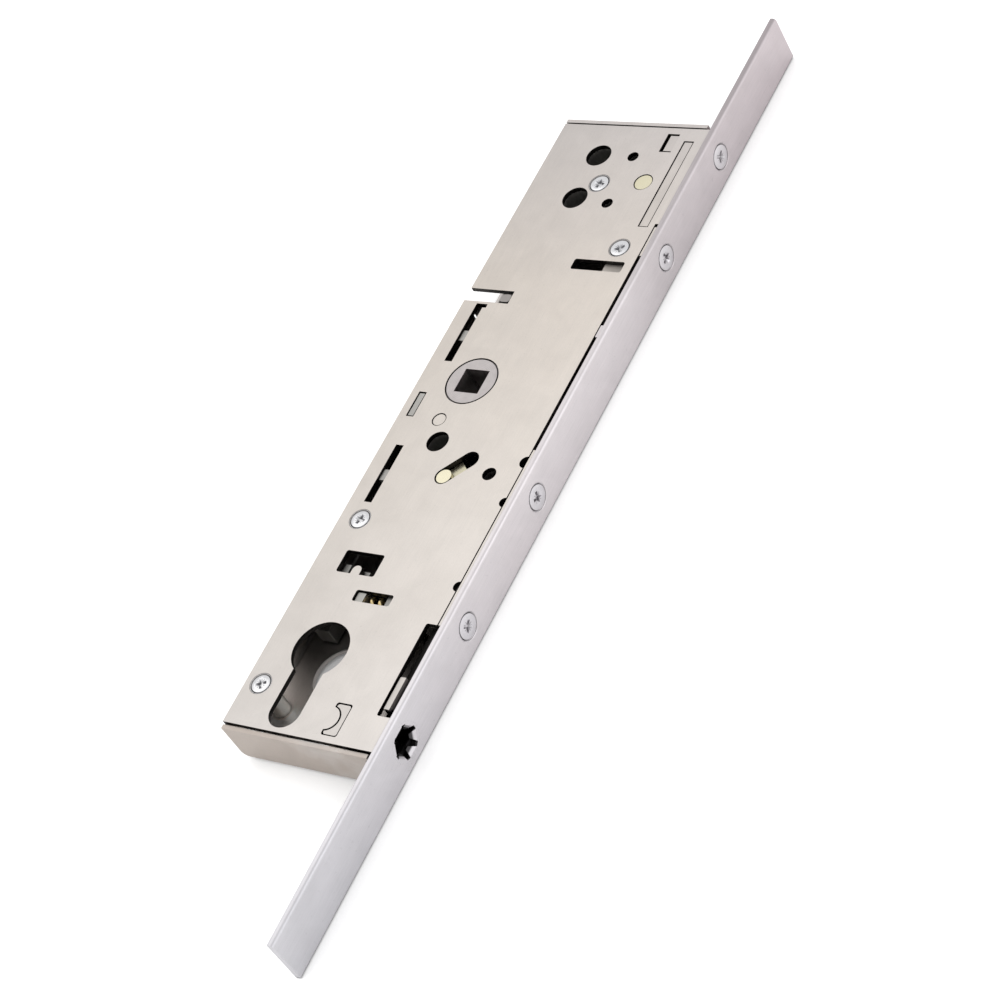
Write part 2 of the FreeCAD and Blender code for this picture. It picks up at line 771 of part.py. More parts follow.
def front_bracket_lower():
    """The plate of the fourth strip screw, whose tab shows in the front recess."""
    far = lower_bracket_front
    near = far - lower_bracket_plate
    start = near - centre_bracket_depth
    x = strip_screw_x[3]
    step_x = x - centre_bracket_half
    low = block(lower_bracket_x[0], step_x, near, far, z_floor, lower_bracket_step)
    high = block(step_x, lower_bracket_x[1], near, far, z_floor, z_ceiling)
    tab = block(lower_tab_x[0], lower_tab_x[1], far - lower_tab_thickness, far,
                lower_bracket_step, z_front - lower_tab_drop)
    thread_block = block(step_x, x + centre_bracket_half, start, near, z_floor, z_ceiling)
    bracket = fused([low, high, tab, thread_block, screw_boss(x, far)])
    return threaded(bracket, x, start - 1)


def case_screws():
    """The four screws that hold the cover."""
    screws = []
    for x, depth in case_screw_spots:
        screw = countersunk_screw(case_screw_head_radius, cover_thickness,
                                  case_screw_shank_radius, case_screw_length)
        screw.translate(at(x, depth, z_front))
        screws.append(screw)
    return Part.makeCompound(screws)


def faceplate_screws():
    """The four screws that hold the strip."""
    screws = []
    for x in strip_screw_x:
        screw = countersunk_screw(strip_screw_head_radius, strip_screw_head_height,
                                  strip_screw_shank_radius, strip_screw_length)
        screw.rotate(FreeCAD.Vector(), FreeCAD.Vector(1, 0, 0), 90)
        screw.translate(at(x, backset, 0))
        screws.append(screw)
    return Part.makeCompound(screws)


def case_posts():
    """The threaded posts of the three case screws that no bracket takes."""
    posts = []
    for x, depth in post_screw_spots:
        hole = post(x, depth, case_screw_shank_radius + thread_gap, z_floor, z_front)
        posts.append(post(x, depth, case_post_radius, z_floor, z_ceiling).cut(hole))
    return Part.makeCompound(posts)


# Spacers and guides between the plates

def top_spacer():
    """The block whose hooked tab shows near the top of the cover."""
    x0, x1 = hook_x
    near, far = hook_depths
    base = block(x0, x1, near, far + hook_block_margin, z_floor, z_ceiling)
    return fused([base, block(x0, x1, near, far, z_ceiling, z_front - flush_drop)])


def lower_spacer():
    """The block whose crescent tab shows beside the cylinder hole."""
    return fused([crescent(crescent_block_margin, z_floor, z_ceiling),
                  crescent(0, z_ceiling, z_front - flush_drop)])


def rack_keeper():
    """The small block that is riveted in the cover and keeps the back slide down."""
    x0, x1 = keeper_x
    near, far = keeper_depths
    base = block(x0 - keeper_margin, x1 + keeper_margin, near - keeper_margin,
                 far + keeper_margin, slide_bottom, z_ceiling)
    return fused([base, block(x0, x1, near, far, z_ceiling, z_front - flush_drop)])


def rack_guide():
    """The fixed rib that the front slide runs along."""
    start = pitch_radius + addendum + root_gap + rack_body + layer_gap
    return block(guide_rib_x[0], guide_rib_x[1], start, start + guide_rib_width, z_floor, rack_top)


def notch_post():
    """The post at the inner end of the back notch, with the guard that closes the case there."""
    near, far = notch_post_depths
    x0, x1 = notch_post_x
    stem = rounded(block(x0, x1, near, far, z_back + flush_drop, z_front - flush_drop),
                   notch_post_corner)
    guard_x = notch_x[0] - notch_guard
    guard = block(guard_x, notch_x[0], notch_guard_back, far, z_floor + bend_radius, z_ceiling)
    guard_foot = block(guard_x, notch_x[0], notch_guard_back + bend_radius, far, z_floor, z_ceiling)
    bridge = block(guard_x, x1 - notch_post_corner, (near + far) / 2, far - notch_post_corner,
                   z_floor, z_ceiling)
    return fused([stem, guard, guard_foot, bridge])


def rail_guides():
    """The headed studs on the strip's back that hold the rails outside the case."""
    studs = []
    for x in rail_guide_x:
        shank = along_depth(x, 0, boss_radius, rail_back - rail_play, strip_back)
        head = along_depth(x, 0, rail_guide_head_radius, rail_back - rail_play - rail_guide_head,
                           rail_back - rail_play)
        studs.append(fused([shank, head]))
    return Part.makeCompound(studs)


# Spindle drive

def follower():
    """The spindle follower: hub, square hole, pinion and upper collar."""
    root_radius = pitch_radius - addendum - root_gap
    hub = Part.makeCylinder(hub_radius, case_thickness, FreeCAD.Vector(0, 0, z_back))
    hub = hub.common(fused([Part.makeCylinder(hub_radius - hub_step, case_thickness,
                                              FreeCAD.Vector(0, 0, z_back)),
                            Part.makeCylinder(hub_radius, case_thickness - 2 * hub_step_depth,
                                              FreeCAD.Vector(0, 0, z_back + hub_step_depth))]))
    disc = Part.makeCylinder(root_radius, rack_height, FreeCAD.Vector(0, 0, rack_bottom))
    collar = Part.makeCylinder(collar_radius, link_top - slide_bottom,
                               FreeCAD.Vector(0, 0, slide_bottom))
    step = 360 / pinion_teeth
    teeth = [pinion_tooth(count * step) for count in range(pinion_teeth)]
    body = fused([hub, disc, collar] + teeth)
    side = square_side / 2
    return body.cut(block(-side, side, -side, side, -far_out, far_out))


def drive_rail(x0, x1, slot_places, tenon_x, tenon_length):
    """A flat rail behind the strip, slotted for screws and studs, with the arm's tenon hole."""
    half = rail_width / 2
    rail = block(x0, x1, rail_back, rail_front, -half, half)
    slot_half_width = boss_radius + rail_slot_play
    half_length = rail_travel + slot_half_width + rail_slot_play
    cuts = [strip_slot(x, half_length, slot_half_width, rail_back - 1, rail_front + 1)
            for x in slot_places]
    hole_length = tenon_length / 2 + tenon_play
    hole_height = tenon_size / 2 + tenon_play
    cuts.append(block(tenon_x - hole_length, tenon_x + hole_length, rail_back - 1, rail_front + 1,
                      tenon_z - hole_height, tenon_z + hole_height))
    return rail.cut(cuts)


def tenon(middle, length):
    """The end of an arm that passes into a rail."""
    return block(middle - length / 2, middle + length / 2, rail_back - 1, rail_front - rail_play,
                 tenon_z - tenon_size / 2, tenon_z + tenon_size / 2)


def front_rack():
    """The front toothed slide with its arm to the upper rail."""
    pieces = rack_teeth(1, front_rack_x[0], front_rack_x[1])
    arm_start = pitch_radius + addendum + root_gap
    pieces.append(block(front_arm_x[0], front_arm_x[1], arm_start, rail_back,
                        rack_bottom, rack_top))
    pieces.append(tenon(sum(front_arm_x) / 2, tenon_size))
    return fused(pieces)


def upper_drive_rail():
    """The rail that runs up the door, with the lug that shows in the wide gap."""
    top = strip_top - rail_travel - rail_end_margin
    rail = drive_rail(upper_rail_bottom, top, upper_bracket_screws + (rail_guide_x[0],),
                      sum(front_arm_x) / 2, tenon_size)
    lug = block(lug_x - lug_length / 2, lug_x + lug_length / 2, rail_front - lug_thickness,
                rail_front, rail_width / 2 - 1, z_front - flush_drop)
    return fused([rail, lug])


def back_rack():
    """The back toothed slide, its two guide tabs and its arm to the lower rail."""
    pieces = rack_teeth(-1, back_rack_x[0], back_rack_x[1])
    body_back = -(pitch_radius + addendum + root_gap + rack_body)
    near, far = tab_depth - tab_width / 2, tab_depth + tab_width / 2
    for x in tab_x:
        x0, x1 = x - tab_length / 2, x + tab_length / 2
        pieces.append(block(x0 - tab_pad_margin, x1 + tab_pad_margin, body_back,
                            far + tab_pad_margin, rack_bottom, rack_top))
        pieces.append(block(x0, x1, near, far, rack_top - 1, z_front - tab_top_drop))
    foot_x = (back_rack_x[0], back_rack_x[0] + back_foot_height)
    step_near, step_far = step_arm_depths
    pieces.append(block(foot_x[0], foot_x[1], body_back, step_far, rack_bottom, rack_top))
    pieces.append(block(cross_arm_x[0], foot_x[1], step_near, step_far, rack_bottom, rack_top))
    pieces.append(block(cross_arm_x[0], cross_arm_x[1], step_near, rail_back,
                        rack_bottom, rack_top))
    pieces.append(tenon(sum(cross_arm_x) / 2, lower_tenon_length))
    return fused(pieces)


def lower_drive_rail():
    """The rail that runs down the door."""
    bottom = strip_bottom + rail_travel + rail_end_margin
    places = strip_screw_x[2:] + (cylinder_screw_x, rail_guide_x[1])
    return drive_rail(bottom, lower_rail_top, places, sum(cross_arm_x) / 2, lower_tenon_length)


# Key-operated slide and its brass link

def key_slide():
    """The slide that the cylinder's cam lifts: fork, ear, rib, bar and slotted head."""
    fork_low = z_floor + fork_floor_gap
    fork_high = rack_top
    fork = block(fork_bottom, fork_top, -fork_half_width, fork_half_width, fork_low, fork_high)
    fork = fork.cut(block(fork_bottom - 1, fork_gap_top, -fork_gap_half_width,
                          fork_gap_half_width, fork_low - 1, fork_high + 1))
    ear = block(ear_x[0], ear_x[1], ear_depths[0], ear_depths[1], fork_high - 1, raised_top)
    rib = block(rib_x[0], rib_x[1], rib_depths[0], rib_depths[1], fork_high - 1, raised_top)
    root = block(fork_top - bar_root_length, fork_top, slide_bar[0], slide_bar[1],
                 fork_high - 1, slide_top)
    pin_half = link_pin_radius + slide_pin_play
    head_radius = pin_half + slide_head_wall
    far_depth = link_point(link_travel)[1]
    bar = block(fork_top - 1, link_x, slide_bar[0], slide_bar[1], slide_bottom, slide_top)
    head = slot(link_x, link_depth, link_x, far_depth, head_radius, slide_bottom, slide_top)
    slide = fused([fork, ear, rib, root, bar, head])
    cuts = [slot(link_x, link_depth, link_x, far_depth, pin_half, slide_bottom - 1, slide_top + 1)]
    stud_half = guide_stud_radius + slide_pin_play
    for depth in guide_stud_depths:
        cuts.append(slot(guide_stud_x, depth, guide_stud_x - slide_travel, depth, stud_half,
                         fork_low - 1, fork_high + 1))
    return slide.cut(cuts)


def slide_guides():
    """The two studs on the tray that guide the fork."""
    return Part.makeCompound([post(guide_stud_x, depth, guide_stud_radius, z_floor, rack_top)
                              for depth in guide_stud_depths])


def link_pin():
    """The brass pin in the slanted slot."""
    return post(link_x, link_depth, link_pin_radius, rack_top + layer_gap, z_front - flush_drop)


def blocking_slide():
    """The brass bar under the slanted slot, pressed on the pin."""
    end_x, end_depth = link_point(link_bar_reach)
    bar = slot(link_x, link_depth, end_x, end_depth, link_bar_half_width, link_bottom, link_top)
    angle = math.radians(link_angle)
    far = 2 * link_bar_half_width
    side_x, side_depth = math.cos(angle) * far, math.sin(angle) * far
    run_x, run_depth = math.sin(angle) * far, math.cos(angle) * far
    square_end = prism([(end_x - side_x, end_depth + side_depth),
                        (end_x + side_x, end_depth - side_depth),
                        (end_x + side_x + run_x, end_depth - side_depth + run_depth),
                        (end_x - side_x + run_x, end_depth + side_depth + run_depth)],
                       link_bottom - 1, link_top + 1)
    pin_hole = post(link_x, link_depth, link_pin_radius, link_bottom - 1, link_top + 1)
    return bar.cut([square_end, pin_hole])


# Drag spring beside the key slide

def drag_pad():
    """The pad that rubs on the key slide's rib, with the tab that shows in its window."""
    half = pad_width / 2
    x_low, x_high, depth_low, _ = spring_window
    body = block(spring_x - half, spring_x + half, rib_depths[1] + pad_play, spring_start,
                 slide_bottom, raised_top)
    tab = block(x_low + pad_window_gap, x_high - pad_window_gap, depth_low + pad_window_gap,
                spring_start, slide_bottom, z_front - tab_top_drop)
    return fused([body, tab])


def drag_spring():
    """The coil spring between the pad and its seat."""
    spring = coil_spring(spring_wire, spring_diameter, spring_end - spring_start, spring_turns)
    spring.rotate(FreeCAD.Vector(), FreeCAD.Vector(0, 0, 1), -90)
    spring.translate(at(spring_x, spring_start, (slide_bottom + raised_top) / 2))
    return spring


def spring_seat():
    """The block behind the spring, with a cheek on each side of it."""
    outer = pad_width / 2 + pad_play + cheek
    near, far = seat_depths
    body = block(spring_x - outer, spring_x + outer, near, far, z_floor, z_ceiling)
    nose = block(spring_x - outer, spring_x + outer, spring_end, near, slide_bottom, z_ceiling)
    cheeks = [block(spring_x + low, spring_x + low + cheek, rib_depths[1] + layer_gap, spring_end,
                    slide_bottom, z_ceiling) for low in (-outer, outer - cheek)]
    return fused([body, nose] + cheeks)


def nodes():
    """Every piece of the lock by the name of its node."""
    pieces = {
        "faceplate": faceplate(),
        "faceplate_screws": faceplate_screws(),
        "star_retainer": star_retainer(),
        "case_tray": case_tray(),
        "case_cover": case_cover(),
        "case_screws": case_screws(),
        "case_posts": case_posts(),
        "front_bracket_upper": front_bracket_upper(),
        "front_bracket_centre": front_bracket_centre(),
        "front_bracket_lower": front_bracket_lower(),
        "top_spacer": top_spacer(),
        "lower_spacer": lower_spacer(),
        "rack_keeper": rack_keeper(),
        "rack_guide": rack_guide(),
        "notch_post": notch_post(),
        "rail_guides": rail_guides(),
        "handle_bolt_bush": bush(handle_bolt_x, 0, handle_bolt_radius, handle_bush_wall),
        "locating_bush": bush(locating_x, locating_depth, locating_radius, pin_bush_wall),
        "upper_bolt_bushes": Part.makeCompound(
            [bush(x, 0, upper_bolt_radius, upper_bush_wall) for x in upper_bolt_x]),
        "upper_pin_bushes": Part.makeCompound(
            [bush(x, upper_pin_depth, upper_pin_radius, pin_bush_wall) for x in upper_pin_x]),
        "brass_rivet": rivet(*brass_rivet_spot, brass_rivet_head),
        "ring_rivet": rivet(*ring_rivet_spot, ring_rivet_head),
        "slide_guides": slide_guides(),
        "spring_seat": spring_seat(),
        "drag_pad": drag_pad(),
        "drag_spring": drag_spring(),
        "follower": follower(),
        "front_rack": front_rack(),
        "upper_drive_rail": upper_drive_rail(),
        "back_rack": back_rack(),
        "lower_drive_rail": lower_drive_rail(),
        "key_slide": key_slide(),
        "link_pin": link_pin(),
        "blocking_slide": blocking_slide(),
    }
    return pieces


os.makedirs("parts", exist_ok=True)
for name, shape in nodes().items():
    shape.exportStep("parts/" + name + ".step")
    print("%-22s solids %d volume %9.1f valid %s"
          % (name, len(shape.Solids), shape.Volume, shape.isValid()))
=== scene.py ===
"""Looks of the passive door lock: finishes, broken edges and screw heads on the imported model.

Everything is in metres, in the lock's own frame: X runs up the door, -Y points out of the door
edge through the faceplate, and Z points out of the cover plate.
"""

import math

import bmesh
import bpy
from mathutils import Matrix, Vector


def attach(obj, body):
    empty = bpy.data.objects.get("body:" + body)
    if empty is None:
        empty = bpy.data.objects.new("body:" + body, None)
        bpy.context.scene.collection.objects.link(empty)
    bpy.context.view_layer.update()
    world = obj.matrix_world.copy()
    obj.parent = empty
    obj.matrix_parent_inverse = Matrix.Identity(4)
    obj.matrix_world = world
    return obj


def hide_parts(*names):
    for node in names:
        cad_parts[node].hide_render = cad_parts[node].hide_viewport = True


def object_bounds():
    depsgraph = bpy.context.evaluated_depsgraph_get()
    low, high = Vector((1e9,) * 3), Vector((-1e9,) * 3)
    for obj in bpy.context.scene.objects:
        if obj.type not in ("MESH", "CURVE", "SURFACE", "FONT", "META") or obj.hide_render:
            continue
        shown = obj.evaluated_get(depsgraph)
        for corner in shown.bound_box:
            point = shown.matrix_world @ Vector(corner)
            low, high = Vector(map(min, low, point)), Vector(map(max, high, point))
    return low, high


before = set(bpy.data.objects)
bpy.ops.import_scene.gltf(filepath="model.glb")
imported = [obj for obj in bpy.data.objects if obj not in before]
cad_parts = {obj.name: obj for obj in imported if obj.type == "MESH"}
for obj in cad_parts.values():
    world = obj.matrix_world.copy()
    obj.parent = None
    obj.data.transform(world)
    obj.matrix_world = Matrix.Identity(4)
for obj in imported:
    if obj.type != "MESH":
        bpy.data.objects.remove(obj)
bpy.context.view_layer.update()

MM = 0.001

# Camera, from the points of the photograph that lie at known places on the lock
camera_place = (-0.37786, -0.47719, 0.53041)
camera_right = (0.43031, -0.80349, -0.41138)
camera_up = (0.78817, 0.11229, 0.60512)
camera_lens = 103.88
camera_sensor = 36.0
camera_shift = (0.0082, 0.0063)
camera_clip = (0.01, 20.0)

# Studio
floor_gap = 0.02 * MM
floor_half = 4.0
world_strength = 0.85
floor_albedo = 0.8
floor_glow = 0.65
floor_sheen = 0.26
# How far the floor's glow looks for the lock, which dims it to a painted shadow
painted_shadow_reach = 0.03
sky_samples = 8

# Lamps: the place, size, power and colour of each. All of them point at the origin.
lamps = {
    "key": ((0.05, 0.6, 0.95), 0.9, 1.3, (1.0, 0.985, 0.96)),
    "front": ((0.35, -0.95, 0.45), 0.8, 1.2, (0.96, 0.97, 1.0)),
    "left": ((-0.9, -0.1, 0.5), 0.7, 0.4, (1.0, 1.0, 1.0)),
}

# Painted shade inside the case: the box it fills and what is left of a colour there. The box fades
# out towards the cover's face. The end with the cylinder's leg gets painted light, above the
# colour's own, and the front gets darker painted shade.
inside_low = (-119.4 * MM, -32.6 * MM, -6.0 * MM)
inside_high = (98.0 * MM, 17.2 * MM, 6.9 * MM)
inside_fade = 2.5 * MM
inside_blur = 0.5 * MM
inside_shade_share = 0.6
leg_light_share = 1.7
leg_x = (-106.0 * MM, -86.0 * MM)
front_shade_share = 0.12
front_y = (-27.0 * MM, -20.0 * MM)

# Painted shade in the hole of the follower's square, and in the strip's hole behind the spring
# washer
square_high = (4.15 * MM, 4.15 * MM, 6.9 * MM)
square_low = tuple(-side for side in square_high)
washer_low = (-116.0 * MM, -34.45 * MM, -5.9 * MM)
washer_high = (-104.4 * MM, -12.0 * MM, 5.9 * MM)
washer_blur = 0.3 * MM
washer_shade_share = 0.1

# Painted shade in crevices: how far light is looked for, how open a dark and a light place are, and
# what is left of a colour in the dark ones
crevice_reach = 1.4 * MM
crevice_open = (0.25, 0.85)
crevice_shade_share = 0.24

# The cover is a little lighter towards the strip, and its cut faces carry a painted dark shade. The
# strip's sides carry painted shade, darker towards its top end. A face counts as cut by how little
# it faces up or down, and as a strip side by how much it faces up or down.
lean_y = (17.85 * MM, -31.5 * MM)
lean = (0.93, 1.06)
cut_upright = (0.92, 0.7)
side_x = (20 * MM, 120 * MM)
side_shade_shares = (1.0, 0.72)
side_upright = (0.5, 0.9)

# Marks on the metal: the scale of each pattern, the part of its noise that shows, and its effect on
# the colour, the roughness and the relief
shown_noise = (0.3, 0.7)
cloud_scale = 28
patch_scale = 130
fine_scale = 3800
speck_scale = 1100
grain_stretch = (55, 2600, 2600)
scratch_stretch = (240, 5200, 5200)
shown_specks = (0.70, 0.78)
shown_scratches = (0.72, 0.76)
scratched_patches = (0.5, 0.62)
tone_wander = 0.12
patch_tints = (-0.035, 0.025)
grain_tint = 0.03
fine_tints = (0.975, 1.02)
speck_tint = 0.07
scratch_tint = 0.08
cloud_rough = (-0.05, 0.06)
grain_rough = 0.04
grain_height = 0.6
fine_height = 0.4
scratch_height = 0.8
metal_relief = 0.35
relief_depth = 0.006 * MM

# Marks of the lathe on the follower
turned_pitch = 0.5 * MM
turned_blur_scale = 260
turned_blur = 0.7
turned_patch_scale = 520
turned_fine_scale = 3000
turned_tint = 0.05
turned_patch_tints = (0.93, 1.05)
turned_rough = (-0.06, 0.08)
turned_relief = 0.3

# Screw heads
case_head_depth = 1.5 * MM
case_shank_radius = 1.45 * MM
strip_head_depth = 1.8 * MM
strip_shank_radius = 1.95 * MM
case_recess = 0.55
strip_recess = 0.5
wing_half_width = 0.55 * MM
wing_foot_half_width = 0.3 * MM
wing_foot_share = 0.5
recess_depth = 0.75 * MM
tick_half_width = 0.09 * MM
tick_shares = (0.85, 0.8)
tick_depth = 0.12 * MM
cut_above = 0.1 * MM
head_gap = 0.12 * MM
head_sink = 0.06 * MM
head_crown = 0.01 * MM
rim_round = 0.16 * MM
rim_middle = (0.35, 0.4)
rim_groove = 0.3 * MM
rim_groove_depth = 0.4 * MM
rim_groove_draft = 0.02 * MM
rim_land = 0.12 * MM
rim_land_drop = 0.05 * MM
lathe_steps = 64

# How each row of screws is turned: the first screw, and each further one, in degrees
case_screw_turns = (28, 47)
strip_screw_turns = (40, 31)

# Meshes
weld_reach = 0.001 * MM
sharp_edge = math.radians(40)
sharp_head_edge = math.radians(32)
square_corners = ((-1, -1), (1, -1), (1, 1), (-1, 1))


class Graph:
    """A short way to write a material's nodes."""

    def __init__(self, name):
        self.material = bpy.data.materials.new(name)
        self.material.use_nodes = True
        self.tree = self.material.node_tree
        self.tree.nodes.clear()
        self.output = self.tree.nodes.new("ShaderNodeOutputMaterial")

    def add(self, kind, inputs=None, **settings):
        node = self.tree.nodes.new(kind)
        for key, value in settings.items():
            setattr(node, key, value)
        for key, value in (inputs or {}).items():
            if isinstance(value, bpy.types.NodeSocket):
                self.tree.links.new(value, node.inputs[key])
            else:
                node.inputs[key].default_value = value
        return node

    def calculate(self, operation, first, second=0.0):
        return self.add("ShaderNodeMath", {0: first, 1: second}, operation=operation).outputs[0]

    def product(self, first, *others):
        for other in others:
            first = self.calculate("MULTIPLY", first, other)
        return first

    def remap(self, value, low, high, out_low=0.0, out_high=1.0):
        inputs = {"Value": value, "From Min": low, "From Max": high,
                  "To Min": out_low, "To Max": out_high}
        return self.add("ShaderNodeMapRange", inputs).outputs["Result"]

    def place(self):
        """The place on the lock, as X, Y and Z."""
        place = self.add("ShaderNodeTexCoord").outputs["Object"]
        return self.add("ShaderNodeSeparateXYZ", {0: place}).outputs

    def upright(self):
        """1 on a face that looks straight up or down, 0 on an upright side."""
        facing = self.add("ShaderNodeTexCoord").outputs["Normal"]
        parts = self.add("ShaderNodeSeparateXYZ", {0: facing}).outputs
        return self.calculate("ABSOLUTE", parts["Z"])

    def noise(self, scale, detail=2.0, stretch=(1, 1, 1), roughness=0.5, distortion=0.0):
        place = self.add("ShaderNodeTexCoord").outputs["Object"]
        place = self.add("ShaderNodeMapping", {"Vector": place, "Scale": stretch}).outputs["Vector"]
        inputs = {"Vector": place, "Scale": scale, "Detail": detail,
                  "Roughness": roughness, "Distortion": distortion}
        return self.add("ShaderNodeTexNoise", inputs).outputs["Fac"]

    def open_sky(self, reach):
        """How much of the light within reach gets to a place, from 0 to 1."""
        return self.add("ShaderNodeAmbientOcclusion", {"Distance": reach},
                        samples=sky_samples).outputs["AO"]

    def ramp(self, value, stops):
        node = self.add("ShaderNodeValToRGB", {"Fac": value})
        band = node.color_ramp
        while len(band.elements) < len(stops):
            band.elements.new(0.5)
        for element, (place, colour) in zip(band.elements, stops):
            element.position = place
            element.color = (*colour, 1)
        return node.outputs["Color"]

    def blend(self, factor, first, second, mode="MIX"):
        node = self.add("ShaderNodeMix", {0: factor}, data_type="RGBA", blend_type=mode)
        for socket, value in ((node.inputs[6], first), (node.inputs[7], second)):
            if isinstance(value, bpy.types.NodeSocket):
                self.tree.links.new(value, socket)
            else:
                socket.default_value = (*value, 1)
        return node.outputs[2]

    def shaded(self, colour, share):
        """The colour times a share."""
        grey = self.add("ShaderNodeCombineColor", {0: share, 1: share, 2: share}).outputs[0]
        return self.blend(1.0, colour, grey, "MULTIPLY")

    def between(self, value, low, high, blur):
        """1 where the value lies between low and high, 0 outside, with a soft step."""
        middle, half = (low + high) / 2, (high - low) / 2
        away = self.calculate("ABSOLUTE", self.calculate("SUBTRACT", value, middle))
        return self.remap(away, half, half - blur)

    def boxed(self, parts, low, high, blur=inside_blur):
        """1 inside the box from corner low to corner high, 0 outside, with soft sides."""
        return self.product(*(self.between(parts[axis], low[axis], high[axis], blur)
                              for axis in range(3)))

    def with_painted_shade(self, colour, square=False):
        """The colour with painted shade in crevices, in the case, in the square and in the washer's
        hole, and painted light at the cylinder's leg.
        """
        # Painted shade in crevices, by how open the place is
        shade = self.remap(self.open_sky(crevice_reach), *crevice_open, crevice_shade_share, 1.0)
        parts = self.place()
        top = inside_high[2]
        fade = self.remap(parts[2], top, top - inside_fade)
        inside = self.product(self.boxed(parts, inside_low, inside_high), fade)
        if square:
            inside = self.calculate("MAXIMUM", inside, self.boxed(parts, square_low, square_high))
        least = self.remap(parts[0], *leg_x, leg_light_share, inside_shade_share)
        least = self.remap(parts[1], *front_y, front_shade_share, least)
        behind = self.boxed(parts, washer_low, washer_high, washer_blur)
        shade = self.product(shade, self.remap(inside, 0, 1, 1.0, least),
                             self.remap(behind, 0, 1, 1.0, washer_shade_share))
        return self.shaded(colour, shade)

    def finish(self, shader):
        self.tree.links.new(shader.outputs[0], self.output.inputs["Surface"])
        return self.material

    def finish_metal(self, colour, rough, height, relief):
        """Bare metal with a fine relief."""
        bump = self.add("ShaderNodeBump", {"Height": height, "Strength": relief,
                                           "Distance": relief_depth})
        return self.finish(self.add("ShaderNodeBsdfPrincipled", {
            "Base Color": colour, "Roughness": rough, "Metallic": 1.0,
            "Normal": bump.outputs["Normal"]}))


def linear(red, green, blue):
    """A colour that is given in the 0 to 255 steps of a picture."""
    def channel(step):
        share = step / 255
        return share / 12.92 if share <= 0.04045 else ((share + 0.055) / 1.055) ** 2.4
    return channel(red), channel(green), channel(blue)


def metal(name, tones, span, roughness, grain=1.0, mottle=1.0, cut_face_shade=None, shaded=True,
          painted_side_shade=False):
    """Zinc-plated or bare metal: tones along X, clouds, rolling grain, specks and fine scratches,
    with painted light and shade where asked.
    """
    graph = Graph(name)
    parts = graph.place()
    clouds = graph.noise(cloud_scale, 4.0, roughness=0.6)
    patches = graph.noise(patch_scale, 3.0, distortion=0.6)
    lines = graph.noise(1.0, 3.0, stretch=grain_stretch, roughness=0.7)
    fine = graph.noise(fine_scale)
    specks = graph.remap(graph.noise(speck_scale, 1.0), *shown_specks)
    scratches = graph.noise(1.0, 1.0, stretch=scratch_stretch, distortion=0.35)
    scratch = graph.product(graph.remap(scratches, *shown_scratches),
                            graph.remap(patches, *scratched_patches))

    wander = graph.product(graph.calculate("SUBTRACT", clouds, 0.5), tone_wander)
    colour = graph.ramp(graph.calculate("ADD", graph.remap(parts["X"], *span), wander), tones)
    tint = graph.product(
        graph.remap(patches, *shown_noise, *(1 + step * mottle for step in patch_tints)),
        graph.remap(lines, *shown_noise, 1 - grain_tint * grain, 1 + grain_tint * grain),
        graph.remap(fine, *shown_noise, *fine_tints))
    tint = graph.calculate("SUBTRACT", tint, graph.product(specks, speck_tint))
    tint = graph.calculate("SUBTRACT", tint, graph.product(scratch, scratch_tint))
    colour = graph.shaded(colour, tint)
    # Painted shade on the strip's sides, darker towards its top end
    if painted_side_shade:
        side_shade_share = graph.remap(parts["X"], *side_x, *side_shade_shares)
        colour = graph.shaded(colour, graph.remap(graph.upright(), *side_upright, 1.0, side_shade_share))
    # The cover lighter towards the strip, and painted dark shade on its cut faces
    if cut_face_shade:
        colour = graph.shaded(colour, graph.remap(parts["Y"], *lean_y, *lean))
        colour = graph.blend(graph.remap(graph.upright(), *cut_upright), colour, cut_face_shade)
    # Painted shade in crevices, in the case and in the washer's hole, with painted light at the
    # leg's end
    if shaded:
        colour = graph.with_painted_shade(colour)

    rough = graph.calculate(
        "ADD", graph.remap(clouds, *shown_noise, *(roughness + step for step in cloud_rough)),
        graph.remap(lines, *shown_noise, -grain_rough, grain_rough))
    height = graph.calculate("ADD", graph.product(lines, grain_height * grain),
                             graph.product(fine, fine_height))
    height = graph.calculate("SUBTRACT", height, graph.product(scratch, scratch_height))
    return graph.finish_metal(colour, rough, height, metal_relief)


def turned(name, tone, roughness):
    """Metal with the concentric marks of a lathe round the spindle axis."""
    graph = Graph(name)
    parts = graph.place()
    radius = graph.calculate("SQRT", graph.calculate(
        "ADD", graph.calculate("POWER", parts["X"], 2.0), graph.calculate("POWER", parts["Y"], 2.0)))
    blur = graph.product(graph.noise(turned_blur_scale, 3.0), turned_blur)
    rings = graph.calculate("SINE", graph.calculate(
        "ADD", blur, graph.product(radius, 2 * math.pi / turned_pitch)))
    patches = graph.noise(turned_patch_scale, 3.0, distortion=0.4)
    tint = graph.product(graph.remap(rings, -1, 1, 1 - turned_tint, 1 + turned_tint),
                         graph.remap(patches, *shown_noise, *turned_patch_tints))
    # Painted shade in crevices, in the case and in the square's hole
    colour = graph.with_painted_shade(graph.shaded(tone, tint), square=True)
    rough = graph.remap(patches, *shown_noise, *(roughness + step for step in turned_rough))
    height = graph.calculate("ADD", rings, graph.noise(turned_fine_scale))
    return graph.finish_metal(colour, rough, height, turned_relief)


